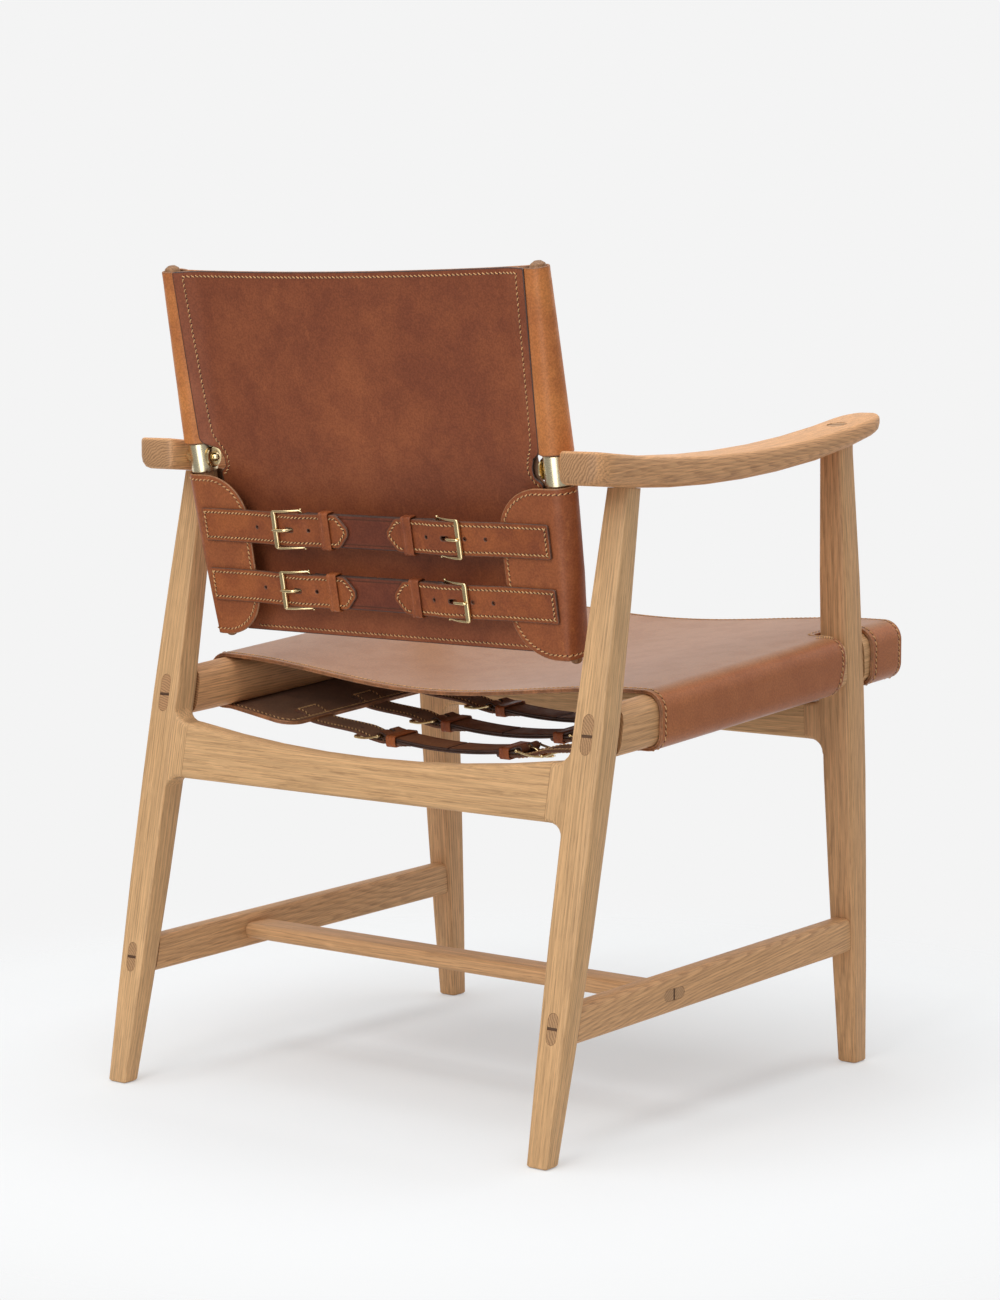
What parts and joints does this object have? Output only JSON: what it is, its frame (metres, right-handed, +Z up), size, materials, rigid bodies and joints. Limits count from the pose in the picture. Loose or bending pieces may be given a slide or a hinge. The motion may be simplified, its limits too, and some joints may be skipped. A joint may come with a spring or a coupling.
{
  "type": "hunting chair",
  "caption": "Low hunting chair: oak frame with broad armrests, sling seat of strapped saddle leather and a tilting leather back hung between round posts.",
  "frame": {"origin": "on the floor, in the middle of the plan box", "axes": "+X to the sitter's left, +Y to the rear, +Z up; the chair faces -Y"},
  "size_m": [0.579, 0.587, 0.8107],
  "materials": {
    "oak": "oiled honey oak with fine dark pores, satin",
    "oak_end_grain": "darker end grain of the joint wedges",
    "saddle_leather": "cognac saddle leather, waxed, with burnished edges",
    "belt_leather": "two layer strap leather with burnished edges",
    "brass": "polished and satin brass"
  },
  "bodies": {
    "frame": {"rear_leg_left": "oak", "front_leg_left": "oak", "side_rail_left": "oak", "side_stretcher_left": "oak", "armrest_left": "oak", "rail_wedge_left": "oak_end_grain", "stretcher_wedge_left": "oak_end_grain", "centre_wedge_left": "oak_end_grain", "arm_wedge_left": "oak_end_grain", "pivot_bolt_left": "brass", "rear_leg_right": "oak", "front_leg_right": "oak", "side_rail_right": "oak", "side_stretcher_right": "oak", "armrest_right": "oak", "rail_wedge_right": "oak_end_grain", "stretcher_wedge_right": "oak_end_grain", "centre_wedge_right": "oak_end_grain", "arm_wedge_right": "oak_end_grain", "pivot_bolt_right": "brass", "rear_rail": "oak", "front_rail": "oak", "centre_stretcher": "oak", "seat_leather": "saddle_leather", "seat_rear_belt": "belt_leather", "seat_rear_buckle_left": "brass", "seat_rear_buckle_right": "brass", "seat_middle_belt": "belt_leather", "seat_middle_buckle_left": "brass", "seat_middle_buckle_right": "brass", "seat_front_belt": "belt_leather", "seat_front_buckle_left": "brass", "seat_front_buckle_right": "brass"},
    "backrest": {"back_post_left": "oak", "pivot_sleeve_left": "brass", "back_post_right": "oak", "pivot_sleeve_right": "brass", "back_leather": "saddle_leather", "back_panel": "saddle_leather", "back_upper_belt": "belt_leather", "back_upper_billet_left": "saddle_leather", "back_upper_buckle_left": "brass", "back_upper_billet_right": "saddle_leather", "back_upper_buckle_right": "brass", "back_lower_belt": "belt_leather", "back_lower_billet_left": "saddle_leather", "back_lower_buckle_left": "brass", "back_lower_billet_right": "saddle_leather", "back_lower_buckle_right": "brass"},
    "back_upper_prong_left": {"back_upper_prong_left": "brass"},
    "back_upper_prong_right": {"back_upper_prong_right": "brass"},
    "back_lower_prong_left": {"back_lower_prong_left": "brass"},
    "back_lower_prong_right": {"back_lower_prong_right": "brass"},
    "seat_rear_prong_left": {"seat_rear_prong_left": "brass"},
    "seat_rear_prong_right": {"seat_rear_prong_right": "brass"},
    "seat_middle_prong_left": {"seat_middle_prong_left": "brass"},
    "seat_middle_prong_right": {"seat_middle_prong_right": "brass"},
    "seat_front_prong_left": {"seat_front_prong_left": "brass"},
    "seat_front_prong_right": {"seat_front_prong_right": "brass"}
  },
  "joints": [
    {"name": "backrest_tilt", "type": "hinge", "parent": "frame", "child": "backrest", "pos_m": [0, 0.2055, 0.623], "axis": [1, 0, 0], "range_deg": [-10, 12]},
    {"name": "back_upper_prong_left_swing", "type": "hinge", "parent": "backrest", "child": "back_upper_prong_left", "pos_m": [0.085, 0.20959, 0.55642], "axis": [0, 0.1951, 0.9808], "range_deg": [0, 12]},
    {"name": "back_upper_prong_right_swing", "type": "hinge", "parent": "backrest", "child": "back_upper_prong_right", "pos_m": [-0.085, 0.20959, 0.55642], "axis": [0, -0.1951, -0.9808], "range_deg": [0, 12]},
    {"name": "back_lower_prong_left_swing", "type": "hinge", "parent": "backrest", "child": "back_lower_prong_left", "pos_m": [0.085, 0.19769, 0.49659], "axis": [0, 0.1951, 0.9808], "range_deg": [0, 12]},
    {"name": "back_lower_prong_right_swing", "type": "hinge", "parent": "backrest", "child": "back_lower_prong_right", "pos_m": [-0.085, 0.19769, 0.49659], "axis": [0, -0.1951, -0.9808], "range_deg": [0, 12]},
    {"name": "seat_rear_prong_left_swing", "type": "hinge", "parent": "frame", "child": "seat_rear_prong_left", "pos_m": [0.088, 0.07748, 0.34369], "axis": [0, 0.9967, -0.0807], "range_deg": [0, 12]},
    {"name": "seat_rear_prong_right_swing", "type": "hinge", "parent": "frame", "child": "seat_rear_prong_right", "pos_m": [-0.088, 0.07748, 0.34369], "axis": [0, -0.9967, 0.0807], "range_deg": [0, 12]},
    {"name": "seat_middle_prong_left_swing", "type": "hinge", "parent": "frame", "child": "seat_middle_prong_left", "pos_m": [0.088, -0.00952, 0.3501], "axis": [0, 0.9967, -0.0807], "range_deg": [0, 12]},
    {"name": "seat_middle_prong_right_swing", "type": "hinge", "parent": "frame", "child": "seat_middle_prong_right", "pos_m": [-0.088, -0.00952, 0.3501], "axis": [0, -0.9967, 0.0807], "range_deg": [0, 12]},
    {"name": "seat_front_prong_left_swing", "type": "hinge", "parent": "frame", "child": "seat_front_prong_left", "pos_m": [0.088, -0.09952, 0.35673], "axis": [0, 0.9967, -0.0807], "range_deg": [0, 12]},
    {"name": "seat_front_prong_right_swing", "type": "hinge", "parent": "frame", "child": "seat_front_prong_right", "pos_m": [-0.088, -0.09952, 0.35673], "axis": [0, -0.9967, 0.0807], "range_deg": [0, 12]}
  ]
}
